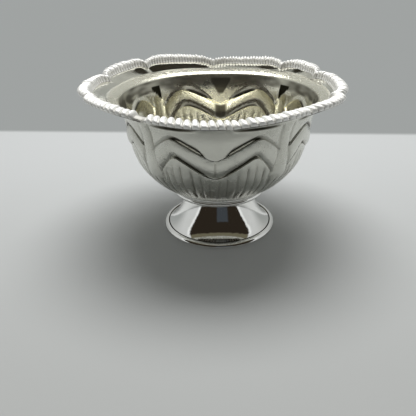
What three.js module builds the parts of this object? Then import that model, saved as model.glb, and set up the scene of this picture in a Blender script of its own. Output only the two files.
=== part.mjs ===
// Small footed silver bowl with stamped leaf panels and a scalloped rim under a gadrooned border.
// Millimetres, +Z up, front of the bowl towards -Y, resting face of the foot on Z = 0.

import * as THREE from 'three';

// Base ring and foot
const BASE_RADIUS = 14.36;
const BASE_HEIGHT = 1.1;
const BASE_WIDTH = 2.6;
const BASE_ROUND = 0.9;
const BASE_TOE = 0.15;
const BASE_LEDGE = 1.36;
const FOOT_HEIGHT = 8.6;
const FOOT_NECK_RADIUS = 8.3;
const FOOT_NECK_LEAN = 0.9;
const FOOT_NECK_LENGTH = 4.5;
const FOOT_FLARE = { reach: 2.6, rise: 1.5 };
const FOOT_SHEET = 0.6;
const FOOT_LIP = 1.0;

// Collar of stacked rounds between foot and bowl
const COLLAR_RADIUS = 11.8;
const COLLAR_HEIGHT = 2.1;
const COLLAR_ROUNDS = 2;
const COLLAR_STEP = 0.25;
const COLLAR_INSET = 0.3;

// Bowl wall, on the middle line of the sheet
const SHEET = 0.5;
const SEAT_ROUND = 0.7;
const NECK_RADIUS = 23.2;
const NECK_HEIGHT = 32.8;
// Shares of the reach from seat to neck and of the rise, from the seat upwards
const WALL_SHAPE = [
  [0, 0],
  [0.33, 0.125],
  [0.64, 0.32],
  [0.785, 0.52],
  [0.855, 0.71],
  [0.907, 0.87],
  [1, 1]
];

// Flange: a bend out of the neck, then a flatter band under the border
const RIM_RADIUS = 30.9;
const BAND_WIDTH = 5.4;
const BAND_SLOPE = THREE.MathUtils.degToRad(10);
const BAND_RISE = 2.1;
const BEND = { reach: 0.45, rise: 0.62 };
// The rim stands off the middle of the foot, and it lifts over the pillars
const RIM_OFFSET = 1.2;
const RIM_SWAY = 1.1;
const NOTCH_DEPTH = 1.7;
const NOTCH_SHARPNESS = 3;
// Notches of the hand laid scallops, in degrees from the front
const NOTCHES = [6, 39, 72, 114, 141, 183, 222, 252, 291, 330];

// Stamped leaf panels, each an M shaped strap of two arches between narrow pillars
const PANELS = 4;
const PANEL_TURN = -3;
const ARCH_PEAK = 24;
const ARCH_FOOT = 39;
const ARCH_ROUND = 2.5;
// Depths of the strap's upper line under the neck
const STRAP_DEPTH = { valley: 7.4, peak: 1.8, foot: 6.2 };
const STRAP_WIDTH = 5.0;
const STRAP_BULGE = 0.4;
const GROOVE_DEPTH = 0.4;
const GROOVE_REACH = 0.75;
const VEIN_DEPTH = 0.25;
const PLAIN_MARGIN = 0.25;

// Narrow flutes under the straps, from their start above the seat to full depth
const FLUTES = 60;
const FLUTE_DEPTH = 0.22;
const FLUTE_START = 1.6;
const FLUTE_FULL = 4.4;

// Gadrooned border soldered on the flange
const SOLDER = 0.05;
const BORDER_MARGIN = 0.2;
const BORDER_WIDTH = 3.1;
const BORDER_TIP = 0.9;
const TIP_SHARPNESS = 8;
const BORDER_EDGE = 0.3;
const BEADS = 108;
const BEAD_HEIGHT = 1.5;
const BEAD_VALLEY = 1.0;
// Where the crown lies in the border's width, from the outer edge inwards
const CROWN_START = 0.3;
const CROWN_END = 0.65;
// Half turn in degrees that is left without beads at one notch
const PLAIN_TURN = 3.4;
const PLAIN_NOTCH = 330;

// Fineness of the rounded surfaces
const COLUMNS = 120;
const TURNS = 48;
const BEAD_COLUMNS = 3;
const OUTER_STEPS = 3;
const INNER_STEPS = 2;
const BEND_STEPS = 3;
const ROUND_STEPS = 4;
const FOOT_STEPS = 5;
const HALVINGS = 24;

const BRIM_RADIUS = BASE_RADIUS - BASE_LEDGE;
const FOOT_TOP = BASE_HEIGHT + FOOT_HEIGHT;
const LIP_RADIUS = FOOT_NECK_RADIUS - FOOT_LIP;
const SEAT_HEIGHT = FOOT_TOP + COLLAR_HEIGHT;
const SEAT_RADIUS = COLLAR_RADIUS + SEAT_ROUND;
const SEAT_LINE = SEAT_HEIGHT + SHEET / 2;
const BAND_START = RIM_RADIUS - BAND_WIDTH;
const PATTERN_TOP = NECK_HEIGHT - STRAP_DEPTH.peak + GROOVE_REACH + PLAIN_MARGIN;
const PANEL_ANGLE = 360 / PANELS;

function silver(roughness) {
  return new THREE.MeshStandardMaterial({ color: 0xd9d8d3, roughness, metalness: 1 });
}

function named(name, geometry, roughness) {
  geometry.computeVertexNormals();
  const mesh = new THREE.Mesh(geometry, silver(roughness));
  mesh.name = name;
  return mesh;
}

// Angles in degrees run from the front (-Y) towards +X
function polar(angle, radius, height) {
  const a = THREE.MathUtils.degToRad(angle);
  return [radius * Math.sin(a), -radius * Math.cos(a), height];
}

// Closed skin over rings of equal point count, capped by two points on the axis or closed on itself
function skin(rings, caps) {
  const columns = rings[0].length;
  const position = rings.flat(2);
  const index = [];
  const last = rings.length - 1;
  const joined = caps ? last : rings.length;
  for (let j = 0; j < joined; j++) {
    const a = j * columns;
    const b = ((j + 1) % rings.length) * columns;
    for (let i = 0; i < columns; i++) {
      const k = (i + 1) % columns;
      index.push(a + i, a + k, b + k);
      index.push(a + i, b + k, b + i);
    }
  }
  if (caps) {
    const start = position.length / 3;
    position.push(0, 0, caps[0], 0, 0, caps[1]);
    for (let i = 0; i < columns; i++) {
      const k = (i + 1) % columns;
      index.push(start, k, i);
      index.push(start + 1, last * columns + i, last * columns + k);
    }
  }
  const geometry = new THREE.BufferGeometry();
  geometry.setAttribute('position', new THREE.Float32BufferAttribute(position, 3));
  geometry.setIndex(index);
  return geometry;
}

function turned(profile) {
  const geometry = new THREE.LatheGeometry([...profile, profile[0]], TURNS);
  return geometry.rotateX(Math.PI / 2);
}

// Half circle of points bulging outwards from a vertical line
function bead(radius, low, high) {
  const points = [];
  const half = (high - low) / 2;
  for (let i = 0; i <= ROUND_STEPS; i++) {
    const a = (i / ROUND_STEPS - 0.5) * Math.PI;
    points.push(new THREE.Vector2(radius + half * Math.cos(a), low + half + half * Math.sin(a)));
  }
  return points;
}

// Distance from the nearest notch as a share of the half scallop, 1 at the notch and 0 at the crest
function scallop(angle) {
  for (let i = 0; i < NOTCHES.length; i++) {
    const from = NOTCHES[i];
    const width = (NOTCHES[(i + 1) % NOTCHES.length] - from + 360) % 360;
    const along = (((angle - from) % 360) + 360) % 360;
    if (along <= width) {
      return Math.abs(2 * along / width - 1);
    }
  }
  return 0;
}

// Radius of the rim at the crest of a scallop, measured from the middle of the foot
function crestRadius(angle) {
  return RIM_RADIUS - RIM_OFFSET * Math.sin(THREE.MathUtils.degToRad(angle));
}

function edgeRadius(angle) {
  return crestRadius(angle) - NOTCH_DEPTH * scallop(angle) ** NOTCH_SHARPNESS;
}

// The flange lifts a little over each pillar between two panels
function sway(angle, radius) {
  const turn = THREE.MathUtils.degToRad(angle - PANEL_TURN);
  const out = Math.max((radius - NECK_RADIUS) / (RIM_RADIUS - NECK_RADIUS), 0);
  return RIM_SWAY * out * Math.sin(turn * PANELS / 2) ** 2;
}

// Top face of the flat band, before the sway
function bandHeight(radius) {
  return NECK_HEIGHT + BAND_RISE + (radius - BAND_START) * Math.tan(BAND_SLOPE);
}

// Share of the fall from a rounded peak to the end of its run
function fall(distance, run) {
  const full = Math.hypot(run, ARCH_ROUND) - ARCH_ROUND;
  return (Math.hypot(Math.min(distance, run), ARCH_ROUND) - ARCH_ROUND) / full;
}

// Arched line over one panel: height against the degrees from the panel's middle
function archLine(across, drop) {
  const { valley, peak, foot } = STRAP_DEPTH;
  const run = across < ARCH_PEAK ? ARCH_PEAK : ARCH_FOOT - ARCH_PEAK;
  const end = across < ARCH_PEAK ? valley : foot;
  const depth = THREE.MathUtils.lerp(peak, end, fall(Math.abs(across - ARCH_PEAK), run));
  return NECK_HEIGHT - depth - drop;
}

// Degrees from the middle of the nearest panel
function acrossPanel(angle) {
  const turn = angle - PANEL_TURN;
  return Math.abs(turn - PANEL_ANGLE * Math.round(turn / PANEL_ANGLE));
}

// Middle line of the sheet from the seat to the start of the flat band
function wallLine() {
  const points = WALL_SHAPE.map(([reach, rise]) => new THREE.Vector2(
    THREE.MathUtils.lerp(SEAT_RADIUS, NECK_RADIUS, reach),
    THREE.MathUtils.lerp(SEAT_LINE, NECK_HEIGHT, rise)
  ));
  points.push(new THREE.Vector2(
    THREE.MathUtils.lerp(NECK_RADIUS, BAND_START, BEND.reach),
    THREE.MathUtils.lerp(NECK_HEIGHT, BAND_LINE, BEND.rise)
  ));
  points.push(new THREE.Vector2(BAND_START, BAND_LINE));
  return new THREE.SplineCurve(points);
}

const BAND_LINE = bandHeight(BAND_START) - SHEET / 2;
const LINE = wallLine();

// Share along the wall line at a height, by halving, as the line climbs all the way
function shareAt(height) {
  let low = 0;
  let high = 1;
  for (let i = 0; i < HALVINGS; i++) {
    const middle = (low + high) / 2;
    if (LINE.getPoint(middle).y < height) {
      low = middle;
    } else {
      high = middle;
    }
  }
  return (low + high) / 2;
}

// Point of the sheet at a height: side +1 is outside and below, -1 is inside and above
function wallPoint(angle, height, side, push) {
  const share = shareAt(height);
  const at = LINE.getPoint(share);
  const tangent = LINE.getTangent(share);
  const radius = at.x + side * tangent.y * SHEET / 2 + push;
  return polar(angle, radius, at.y - side * tangent.x * SHEET / 2 + sway(angle, at.x));
}

function ringOf(make) {
  return Array.from({ length: COLUMNS }, (_, i) => make(i * 360 / COLUMNS));
}

// Inward push of the narrow flutes under the straps
function flute(angle) {
  const turn = THREE.MathUtils.degToRad(angle - PANEL_TURN);
  return -FLUTE_DEPTH * Math.sin(turn * FLUTES / 2) ** 2;
}

function plainRing(height, side) {
  return ringOf((angle) => wallPoint(angle, height, side, 0));
}

function flutedRing(height, side) {
  return ringOf((angle) => wallPoint(angle, height, side, flute(angle)));
}

// Ring that follows the strap: share runs over its width from below, shift is a step up the wall
function strapRing(share, shift, push, side) {
  return ringOf((angle) => {
    const across = acrossPanel(angle);
    const height = archLine(across, STRAP_WIDTH * (1 - share)) + shift;
    const inStrap = share + shift / STRAP_WIDTH;
    const vein = across === 0 && inStrap >= 0 && inStrap <= 1 ? VEIN_DEPTH : 0;
    const pillar = across > ARCH_FOOT ? 0 : 1;
    return wallPoint(angle, height, side, pillar * (push - vein));
  });
}

// Ring part way between a plain height and the edge of the strap
function blendRing(plain, share, shift, mix, side, push) {
  return ringOf((angle) => {
    const strap = archLine(acrossPanel(angle), STRAP_WIDTH * (1 - share)) + shift;
    return wallPoint(angle, THREE.MathUtils.lerp(plain, strap, mix), side, push(angle));
  });
}

function patternRings(side) {
  return [
    strapRing(0, -GROOVE_REACH, 0, side),
    strapRing(0, 0, -GROOVE_DEPTH, side),
    strapRing(0, GROOVE_REACH, STRAP_BULGE / 2, side),
    strapRing(0.5, 0, STRAP_BULGE, side),
    strapRing(1, -GROOVE_REACH, STRAP_BULGE / 2, side),
    strapRing(1, 0, -GROOVE_DEPTH, side),
    strapRing(1, GROOVE_REACH, 0, side)
  ];
}

// One face of the wall, from the seat to the start of the band
function wallRings(side, steps) {
  const rings = [
    plainRing(SEAT_LINE, side),
    flutedRing(SEAT_LINE + FLUTE_START, side),
    flutedRing(SEAT_LINE + FLUTE_FULL, side)
  ];
  for (let i = 1; i < steps; i++) {
    rings.push(blendRing(SEAT_LINE + FLUTE_FULL, 0, -GROOVE_REACH, i / steps, side, flute));
  }
  rings.push(...patternRings(side));
  rings.push(blendRing(PATTERN_TOP, 1, GROOVE_REACH, 0.5, side, () => 0));
  for (let i = 0; i <= BEND_STEPS; i++) {
    rings.push(plainRing(THREE.MathUtils.lerp(PATTERN_TOP, BAND_LINE, i / BEND_STEPS), side));
  }
  return rings;
}

function flatRing(radius, height) {
  return ringOf((angle) => polar(angle, radius, height));
}

function edgeRing(drop) {
  return ringOf((angle) => {
    const radius = edgeRadius(angle);
    return polar(angle, radius, bandHeight(radius) + sway(angle, radius) - drop);
  });
}

function bowlShell() {
  const floor = SEAT_HEIGHT + SHEET;
  const rings = [
    flatRing(COLLAR_RADIUS, SEAT_HEIGHT),
    ...wallRings(1, OUTER_STEPS),
    edgeRing(SHEET),
    edgeRing(0),
    ...wallRings(-1, INNER_STEPS).reverse(),
    flatRing(COLLAR_RADIUS - SHEET, floor)
  ];
  return named('bowl_shell', skin(rings, [SEAT_HEIGHT, floor]), 0.3);
}

// Section of the border at an angle, from the outer edge over the crown to the inner edge
function borderSection(angle, crown) {
  const outer = edgeRadius(angle) - BORDER_MARGIN;
  const tip = BORDER_TIP * scallop(angle) ** TIP_SHARPNESS;
  const inner = crestRadius(angle) - BORDER_MARGIN - BORDER_WIDTH - tip;
  const rows = [
    [0, 0],
    [0, BORDER_EDGE],
    [CROWN_START, crown],
    [CROWN_END, crown],
    [1, BORDER_EDGE],
    [1, 0]
  ];
  return rows.map(([share, rise]) => {
    const radius = THREE.MathUtils.lerp(outer, inner, share);
    return polar(angle, radius, bandHeight(radius) + sway(angle, radius) + SOLDER + rise);
  });
}

function rimBorder() {
  const columns = [];
  for (let i = 0; i < BEADS * BEAD_COLUMNS; i++) {
    const angle = i * 360 / (BEADS * BEAD_COLUMNS);
    const beaded = i % BEAD_COLUMNS === 0 ? BEAD_VALLEY : BEAD_HEIGHT;
    const plain = Math.abs(angle - PLAIN_NOTCH) < PLAIN_TURN;
    columns.push(borderSection(angle, plain ? BORDER_EDGE : beaded));
  }
  const rings = columns[0].map((_, row) => columns.map((column) => column[row]));
  return named('rim_border', skin(rings, null), 0.2);
}

function collar() {
  const bore = LIP_RADIUS + COLLAR_INSET;
  const height = COLLAR_HEIGHT / COLLAR_ROUNDS;
  const profile = [new THREE.Vector2(bore, FOOT_TOP)];
  for (let i = 0; i < COLLAR_ROUNDS; i++) {
    const low = FOOT_TOP + i * height;
    const radius = COLLAR_RADIUS - (COLLAR_ROUNDS - 1 - i) * COLLAR_STEP;
    profile.push(...bead(radius - height / 2, low, low + height));
  }
  profile.push(new THREE.Vector2(bore, SEAT_HEIGHT));
  return named('collar', turned(profile), 0.15);
}

// Concave trumpet line of the foot, from brim to neck
function footLine() {
  return new THREE.CubicBezierCurve(
    new THREE.Vector2(BRIM_RADIUS, BASE_HEIGHT),
    new THREE.Vector2(FOOT_NECK_RADIUS + FOOT_FLARE.reach, BASE_HEIGHT + FOOT_FLARE.rise),
    new THREE.Vector2(FOOT_NECK_RADIUS + FOOT_NECK_LEAN, FOOT_TOP - FOOT_NECK_LENGTH),
    new THREE.Vector2(FOOT_NECK_RADIUS, FOOT_TOP)
  );
}

function footCone() {
  const outside = footLine().getPoints(FOOT_STEPS);
  const inside = outside.map((p) => new THREE.Vector2(p.x - FOOT_SHEET, p.y)).reverse();
  inside[0].y -= FOOT_SHEET;
  const lip = [
    new THREE.Vector2(LIP_RADIUS, FOOT_TOP),
    new THREE.Vector2(LIP_RADIUS, FOOT_TOP - FOOT_SHEET)
  ];
  return named('foot_cone', turned([...outside, ...lip, ...inside]), 0.06);
}

function baseRing() {
  const inner = BASE_RADIUS - BASE_WIDTH;
  const corner = BASE_ROUND * (1 - Math.SQRT1_2);
  const profile = [
    new THREE.Vector2(inner, 0),
    new THREE.Vector2(BASE_RADIUS - BASE_TOE, 0),
    new THREE.Vector2(BASE_RADIUS, BASE_TOE),
    new THREE.Vector2(BASE_RADIUS, BASE_HEIGHT - BASE_ROUND),
    new THREE.Vector2(BASE_RADIUS - corner, BASE_HEIGHT - corner),
    new THREE.Vector2(BASE_RADIUS - BASE_ROUND, BASE_HEIGHT),
    new THREE.Vector2(inner, BASE_HEIGHT)
  ];
  return named('base_ring', turned(profile), 0.12);
}

const bowl = new THREE.Group();
bowl.name = 'silver_bowl';
bowl.add(bowlShell(), rimBorder(), collar(), footCone(), baseRing());

// The origin lies on the table under the middle of the whole box
const middle = new THREE.Box3().setFromObject(bowl).getCenter(new THREE.Vector3());
bowl.position.set(-middle.x, -middle.y, 0);

export default bowl;
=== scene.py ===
# Looks of a small footed silver bowl with stamped leaf panels and a scalloped, gadrooned rim.
# Metres, +Z up, the front of the bowl towards -Y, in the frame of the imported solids.

from bisect import bisect_right
import math

import bpy
from mathutils import Matrix, Vector, noise


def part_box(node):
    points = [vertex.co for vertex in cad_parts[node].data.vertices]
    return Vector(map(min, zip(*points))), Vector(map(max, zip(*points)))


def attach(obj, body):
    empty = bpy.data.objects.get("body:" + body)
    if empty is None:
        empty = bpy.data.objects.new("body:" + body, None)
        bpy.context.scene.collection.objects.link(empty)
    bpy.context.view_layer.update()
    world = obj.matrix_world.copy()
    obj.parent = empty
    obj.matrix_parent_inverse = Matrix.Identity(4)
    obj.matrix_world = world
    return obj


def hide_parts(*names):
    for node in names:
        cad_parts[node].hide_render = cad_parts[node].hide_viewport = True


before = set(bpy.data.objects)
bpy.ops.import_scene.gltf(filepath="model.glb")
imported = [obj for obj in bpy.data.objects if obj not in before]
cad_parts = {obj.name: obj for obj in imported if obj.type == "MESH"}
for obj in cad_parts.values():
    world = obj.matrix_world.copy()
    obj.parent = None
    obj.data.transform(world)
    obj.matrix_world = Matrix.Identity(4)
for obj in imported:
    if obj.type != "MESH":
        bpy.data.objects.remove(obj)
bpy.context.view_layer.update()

MM = 0.001

# Sizes and places that come from the solids
base_low, base_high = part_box("base_ring")
cone_low, cone_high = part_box("foot_cone")
collar_low, collar_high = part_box("collar")
AXIS = Vector(((base_low.x + base_high.x) / 2, (base_low.y + base_high.y) / 2, 0))
BASE_RADIUS = (base_high.x - base_low.x) / 2
BASE_HEIGHT = base_high.z
BRIM_RADIUS = (cone_high.x - cone_low.x) / 2
FOOT_TOP = cone_high.z
COLLAR_RADIUS = (collar_high.x - collar_low.x) / 2
SEAT_HEIGHT = collar_high.z

# Base ring and foot
BASE_WIDTH = 2.6 * MM
BASE_ROUND = 0.9 * MM
BASE_TOE = 0.15 * MM
FOOT_NECK_RADIUS = 8.3 * MM
FOOT_NECK_LEAN = 0.9 * MM
FOOT_NECK_LENGTH = 4.5 * MM
FOOT_FLARE_REACH = 2.6 * MM
FOOT_FLARE_RISE = 1.5 * MM
FOOT_SHEET = 0.6 * MM
FOOT_LIP = 1.0 * MM

# Collar
COLLAR_ROUNDS = 2
COLLAR_STEP = 0.25 * MM
COLLAR_INSET = 0.3 * MM

# Bowl wall, on the middle line of the sheet
SHEET = 0.5 * MM
SEAT_ROUND = 0.7 * MM
NECK_RADIUS = 23.2 * MM
NECK_HEIGHT = 32.8 * MM
WALL_SHAPE = [(0, 0), (0.33, 0.125), (0.64, 0.32), (0.785, 0.52), (0.855, 0.71), (0.907, 0.87), (1, 1)]

# Flange
RIM_RADIUS = 30.9 * MM
BAND_WIDTH = 5.4 * MM
BAND_SLOPE = math.radians(15)
BAND_RISE = 1.6 * MM
BEND_REACH = 0.30
BEND_RISE = 0.66
RIM_OFFSET = 1.2 * MM
RIM_SWAY = 1.1 * MM
NOTCH_DEPTH = 1.7 * MM
NOTCH_SHARPNESS = 3
NOTCHES = [6, 39, 72, 114, 141, 183, 222, 252, 291, 330]
CREASE_DEPTH = 0.25 * MM
CREASE_SHARPNESS = 6
# Depth of the dish and rise of the tilt of each scallop, in millimetres
DISHES = [0.03, 0.03, 0.04, 0.03, 0.03, 0.02, 0.05, 0.03, 0.03, 0.04]
TILTS = [0.0, 0.0, 0.0, 0.08, 0.0, 0.34, 0.0, 0.0, 0.0, 0.0]
DISH_END = 0.42
DISH_SHARPNESS = 4
# Small dings in the flange: angle and half width in degrees, and lift in millimetres
DINGS = [(226, 3.0, 0.30), (151, 4.0, 0.26), (131, 3.0, 0.20)]

# The flange lifts where two panels meet
PANELS = 4
PANEL_TURN = -3

# Pillars between the stamped leaf panels, and those with a pocket inside, in degrees about the axis
PILLARS = [39.5, 129.5, 227, 316.5]
POCKETS = [129.5, 227]

# M shaped strap of a panel: angles from the panel's middle, and depths of its edges under the neck
PANEL_HALF = 41.5
UPPER_EDGE = {
    "peak_at": 24, "foot_at": 37.7, "flat": 2.0,
    "valley": 7.5 * MM, "peak": 2.7 * MM, "foot": 6.0 * MM,
}
LOWER_EDGE = {
    "peak_at": 23.3, "foot_at": 36, "flat": 4.5,
    "valley": 12.7 * MM, "peak": 7.0 * MM, "foot": 11.8 * MM,
}
ARM_BOW = 1.3
OUTER_SOFT = 0.07
INNER_SOFT = 0.35
STRAP_BULGE = 0.40 * MM
STRAP_FULLNESS = 0.8
PANEL_END = (-0.3, 0.9)
OUTER_ARM = (22, 28)
RELIEF_TOP = (NECK_HEIGHT - 0.7 * MM, NECK_HEIGHT + 0.3 * MM)

# Chased line over the strap: it opens from the valley and gets weaker at the peak
UPPER_DEPTH = 0.60 * MM
UPPER_REACH = 1.15 * MM
UPPER_LIP = 0.16 * MM
UPPER_CURVE = 1.1
UPPER_OPENS = (4.5, 10)
UPPER_PEAK = (19, 26)
VALLEY_REACH = 0.35 * MM
PEAK_SHORTER = 0.3
PEAK_SHALLOWER = 0.6

# Chased line under the strap
LOWER_DEPTH = 0.50 * MM
LOWER_REACH = 1.6 * MM
LOWER_LIP = 0.30 * MM
LOWER_CURVE = 1.6
LOWER_OPENS = (3, 10)
LOWER_VALLEY = 0.4
LOWER_OUTER = 0.7

# Vein in the middle of the strap's valley
VEIN_DEPTH = 0.20 * MM
VEIN_HALF = 1.0
VEIN_START = (0.0, 0.15)
VEIN_END = (0.8, 1.0)

# Pillars
PILLAR_EDGE = 37.7
PILLAR_SPREAD = 3.4
PILLAR_SPREADS = (5 * MM, 14 * MM)
PILLAR_RISE = 0.34 * MM
PILLAR_FULLNESS = 0.7
PILLAR_FOOT = (16 * MM, 21 * MM)
PILLAR_TOP_INSIDE = (NECK_HEIGHT - 5 * MM, NECK_HEIGHT - 3 * MM)
PILLAR_CREASE = 0.26 * MM
CREASE_HALF = 1.1

# Fold under the flange
NECK_FOLD = 0.32 * MM
FOLD_START = 9
FOLD_LENGTH = 27
FOLD_FULLNESS = 0.6
FOLD_DROP = 0.2 * MM
FOLD_HALF = 0.45 * MM

# Flutes under the strap
FLUTES = 64
FLUTE_DEPTH = 0.30 * MM
FLUTE_START = 13.4 * MM
FLUTE_FULL = 15.6 * MM
FLUTE_TOP = (0.5 * MM, 2.8 * MM)
FLUTE_SHARPNESS = 1.8
FLUTE_WANDER = 1.4
WANDER_SIZE = (9, 6 * MM)
FLUTE_EVEN = 0.75
FLUTE_UNEVEN = 0.5
UNEVEN_SIZE = 5
UNEVEN_ROW = 3.7

# Hand made dents in the whole sheet
DENT_DEPTH = 0.085 * MM
DENT_SIZE = 4.5
DENT_OCTAVES = 2
SEAT_DENTS = (0.0, 0.1)
BAND_DENTS = (0.0, 0.15)
BAND_DENTS_END = (0.2, 0.4)

# Old polish and painted shade in each kind of recess: its darkness, which turns black over 1, and the power
# of the depth
UPPER_SHADE = (3.0, 1.1)
LOWER_SHADE = (1.6, 3)
FLUTE_SHADE = (0.9, 1.5)
VEIN_SHADE = (0.5, 1)
CREASE_SHADE = (0.4, 1)
FOLD_SHADE = (2.6, 1.3)
INNER_LINE_SHADE = (2.6, 3)
INNER_FLUTE_SHADE = (0.25, 1)
UPPER_OUTER_LOSS = 0.6
INNER_OUTER_LOSS = 0.4
POCKET_SHADE = 2.0
VALLEY_SHADE = 1.2
WEDGE_SHADE = 1.1

# Painted shade inside: pockets on the pillars, the strap's valley, a wedge over it, a ring under the flange
POCKET_SPAN = (-3.4, 3.6)
POCKET_DEPTH = 4.2 * MM
POCKET_SLANT = 0.4 * MM
POCKET_TOP = 0.7 * MM
VALLEY_EDGE = (2, 5)
VALLEY_START = (0.0, 0.15)
VALLEY_END = (0.75, 0.95)
WEDGE_DEPTH = 5 * MM
WEDGE_HALF = 5.5
WEDGE_OPENS = 4 * MM
WEDGE_SOFT = 1.2
WEDGE_START = 1 * MM
RING_DEPTH = 2.3 * MM
RING_RAGGED = 1.2 * MM
RING_SOFT = 1.1 * MM
RING_TOP = (0.45 * MM, 0.75 * MM)
RING_BACK = 0.2
RING_SIDE = 0.85
RING_PATCHY = 0.5
RING_PATCH = (7, 0.9 * MM, 5.3)

# Border
BORDER_OVERHANG = 0.12 * MM
BORDER_WIDTH = 2.85 * MM
BORDER_SWING = 0.65 * MM
BORDER_TIP = 1.3 * MM
TIP_SHARPNESS = 8
BEADS = 176
BEAD_CROWDING = 0.3
BEAD_HEIGHT = 1.45 * MM
BEAD_SLANT = 0.6
BEAD_UNEVEN = 0.12
CROWN_AT = 0.65
STRIP_HEIGHT = 0.6 * MM
BORDER_WRAP = 0.38 * MM
PLAIN_NOTCH = 330
PLAIN_TURN = 3.4
PLAIN_SOFT = 1.0
BORDER_SEED = 7

# One bead, in shares of the way from the border's outer to its inner edge
BEAD_ROUNDNESS = 3.0
BEAD_BULGE = -0.5
BEAD_NARROWS = (0.6, 1.0)
BEAD_NARROWEST = 0.7
BEAD_OUTER_END = 0.15
BEAD_INNER_END = (0.78, 1.0)
INNER_CURVE = 1.1
INNER_FALL = 0.9
GROOVE_SHARE = 0.55
PLAIN_SHADE = 0.8
TOP_MARGIN = 0.0001
MERGE_DISTANCE = 0.002 * MM

# Groove in the base ring beside the foot's brim, with a dark line of painted shade in it
GROOVE_REACH = 0.32 * MM
GROOVE_AT = 0.12 * MM
GROOVE_DEPTH = 0.22 * MM
LINE_START = -0.08 * MM
LINE_END = (0.24 * MM, 0.34 * MM)
LINE_SHADE = 2.0

# Camera, placed as the photograph was taken; turns in degrees
SENSOR_WIDTH = 36
LENS = 44.96
CLIP_START = 1 * MM
CAMERA_PLACE = (0, -121.5 * MM, 66.0 * MM)
CAMERA_TURN = 1.376
CAMERA_DOWN = 27.12
CAMERA_ROLL = -1.131

# Lamp
LAMP_POWER = 1.55
LAMP_WIDTH = 0.38
LAMP_DEPTH = 0.25
LAMP_PLACE = (0, 0.10, 0.42)
LAMP_AIM = (0, 0, 0.01)

# Table
TABLE_HALF = 1.5
TABLE_SKEW = 0.06
TABLE_EDGE = (0.0695, 0.0735)
TABLE_SHADE_FADE = (-0.09, 0.07)
TABLE_GRAIN = 60.0
GRAIN_SHARE = 0.06
TABLE_ROUGHNESS = 0.75
TABLE_SPECULAR = 0.1

# Surroundings. Heights are sines of the elevation, and turns are radians from the front to either side.
BACK_FADE = (0.05, 0.75)
SIDE_TO_BACK = (1.75, 2.3)
BEAM_BOTTOM = (0.715, 0.725)
BEAM_TOP = (0.86, 0.89)
BEAM_TURN = (2.6, 2.75)
SPREAD_LEAN = -0.75
GLOW_START = (1.02, 1.06)
GLOW_END = (1.10, 1.22)
GLOW_TOP = (0.7, 0.8)
FRONT_EDGE = (1.00, 1.04)
FRONT_TOP = (0.84, 0.90)
OLIVE_START = (0.79, 0.81)
PATCH_LEFT = (-0.15, -0.10)
PATCH_RIGHT = (0.40, 0.50)
PATCH_TOP = (0.42, 0.46)
CEILING_START = (0.90, 0.97)
RIPPLE = {"scale": 7.0, "detail": 4.0, "rough": 0.7}
RIPPLE_HEIGHT = 0.06
RAGGED = {"scale": 9.0, "detail": 5.0, "rough": 0.75}
RAGGED_SPREAD = 0.22
RAGGED_MIDDLE = 0.11
RAGGED_HEIGHT = 0.08

# Colours of the studio
BLACK = (0.0, 0.0, 0.0, 1)
MIDDLE_GREY = (0.5, 0.5, 0.5, 1)
FILL = (0.255, 0.26, 0.255, 1)
DARK_FRONT = (0.022, 0.017, 0.012, 1)
SIDE_LIGHT = (0.56, 0.575, 0.575, 1)
LOW_BACK = (0.32, 0.335, 0.33, 1)
HIGH_BACK = (0.50, 0.51, 0.50, 1)
DARK_BEAM = (0.025, 0.022, 0.016, 1)
OLIVE_EDGE = (0.13, 0.12, 0.08, 1)
BLUE_PATCH = (0.045, 0.052, 0.060, 1)
BRIGHT_EDGE = (0.80, 0.82, 0.82, 1)
CEILING = (0.85, 0.85, 0.83, 1)
# Painted shade: the near table is darker than the far table
SHADED_NEAR_TABLE = (0.50, 0.51, 0.50, 1)
FAR_TABLE = (0.66, 0.675, 0.675, 1)
GROUND = (0.335, 0.35, 0.345, 1)

# Colours of the silver
# Painted light: the inside's bright warm tone stands for light bouncing within the bowl, the outside's
# darker tone for mirrored shade
WARM_LIT_INSIDE_SILVER = (0.88, 0.86, 0.73, 1)
SHADED_OUTSIDE_SILVER = (0.70, 0.70, 0.64, 1)
CAST_SILVER = (0.96, 0.955, 0.93, 1)
TURNED_SILVER = (0.93, 0.925, 0.90, 1)
# Tarnish colours, which the recess also uses for painted shade; the deepest painted shade turns black
WALL_TARNISH_AND_SHADE = (0.16, 0.15, 0.12, 1)
CAST_TARNISH_AND_SHADE = (0.55, 0.54, 0.50, 1)
FOOT_TARNISH = (0.5, 0.45, 0.36, 1)
RING_TARNISH_AND_SHADE = (0.3, 0.27, 0.2, 1)
DEEP_SHADE_BLACK = (0.02, 0.018, 0.012, 1)

# Noises of worn silver, each with its share of the finish's scale
BROAD_SCALE = 0.35
BROAD = {"detail": 4.0, "rough": 0.6}
FINE_SCALE = 4.0
FINE = {"detail": 5.0, "rough": 0.65}
SCRATCH_SCALE = 12.0
SCRATCH = {"detail": 2.0, "rough": 0.5}
SCRATCH_STRETCH = (1.0, 1.0, 0.12)
PATCHES = (0.42, 0.72)
HAZE_EVEN = 0.6
RECESS_ROUGHNESS = 0.12
FINE_LUMPS = 0.3
SCRATCH_HEIGHT = 0.03

# The bowl's roughness and dents on the flange, and what the wall has more on each side
FLANGE_GLOSS = 0.04
WALL_GLOSS = 0.34
FLANGE_DENTS = 0.1
WALL_DENTS = 1.6

# Fineness of the meshes
COLUMNS = 480
BAND_ROWS = 9
TURNS = 160
FOOT_STEPS = 28
ARC_STEPS = 12
TOE_STEPS = 4
BEAD_COLUMNS = 9
BORDER_ROWS = 20
BORDER_UNDER = 2
LINE_STEPS = 1500
ROW_LEAD = 0.4 * MM
NECK_ROWS = (NECK_HEIGHT - 0.8 * MM, NECK_HEIGHT + 0.3 * MM)
SEAT_STEPS = (0.35, 0.7)
BOWL_SHARP = math.radians(60)
PIECE_SHARP = math.radians(50)
PATH_RADIUS = 10 * MM

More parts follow.
